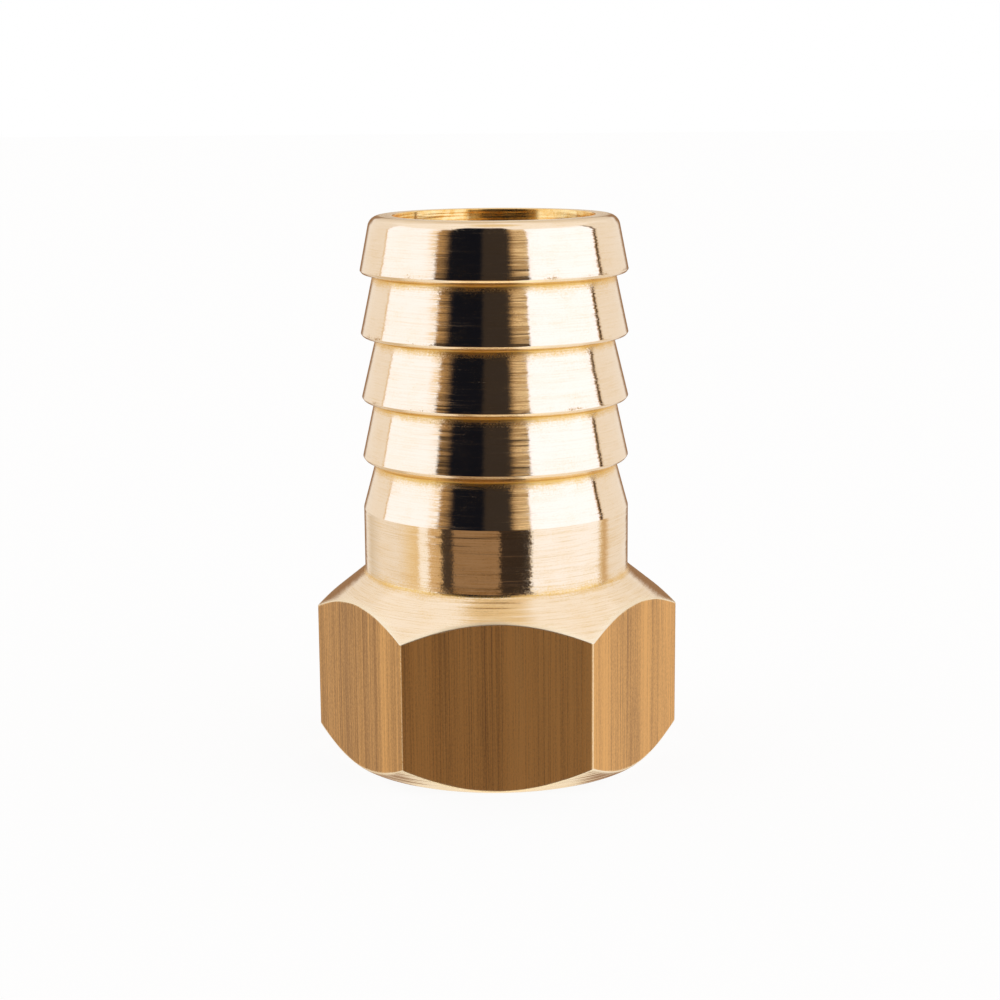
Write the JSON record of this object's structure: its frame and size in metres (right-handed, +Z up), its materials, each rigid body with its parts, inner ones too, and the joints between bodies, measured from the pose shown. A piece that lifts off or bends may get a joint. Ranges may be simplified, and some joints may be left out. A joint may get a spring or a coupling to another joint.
{
  "type": "threaded hose barb tail",
  "caption": "Brass hose tail: a barbed spigot for a 25 mm hose above a spanner hexagon with a female threaded socket.",
  "frame": {"origin": "centre of the flat ring at the threaded end, on which the part stands", "axes": "+Z up the part's axis towards the barbed nose, -Y out of one flat of the hexagon, +X towards a corner of the hexagon"},
  "size_m": [0.0368, 0.032, 0.0548],
  "materials": {
    "brass": "bright turned brass with fine lathe grooves, drawn flats left duller on the hexagon"
  },
  "bodies": {
    "root": {"hose_tail": "brass"}
  },
  "joints": []
}
